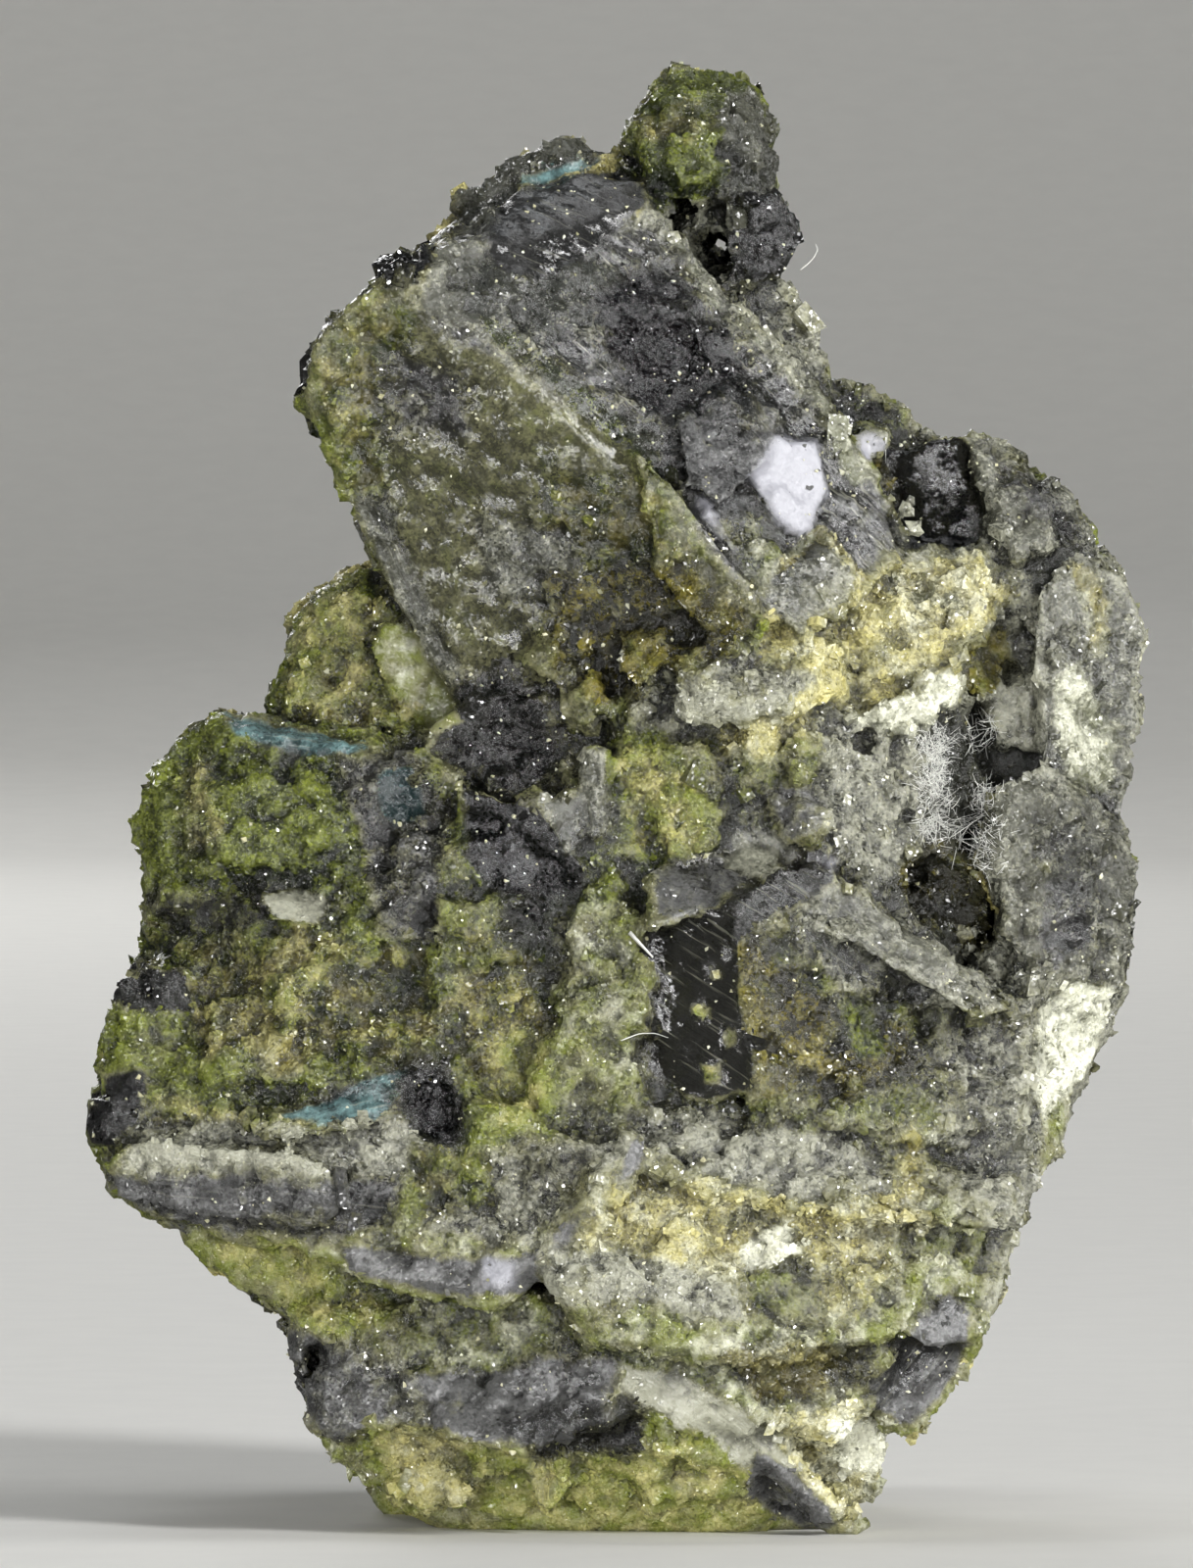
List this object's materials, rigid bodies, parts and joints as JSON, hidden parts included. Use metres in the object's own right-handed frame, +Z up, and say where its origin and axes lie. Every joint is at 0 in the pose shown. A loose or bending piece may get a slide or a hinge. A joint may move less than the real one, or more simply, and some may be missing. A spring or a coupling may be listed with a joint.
{
  "type": "epidote crystal cluster",
  "caption": "Upright cluster of stubby intergrown dark-green crystals with granular yellow-green crust, cut flat at the base to stand as a mineral specimen.",
  "frame": {"origin": "middle of the outer box, on the flat cut that the cluster stands on", "axes": "+Z up through the knob on top, -Y towards the side with the large olive crystal face, +X to the right of that side"},
  "size_m": [0.0146, 0.0128, 0.02],
  "materials": {
    "epidote": "dark olive to pistachio green crystal faces, glossy to satin, with granular mustard and pale crust"
  },
  "bodies": {
    "root": {"epidote_cluster": "epidote"}
  },
  "joints": []
}
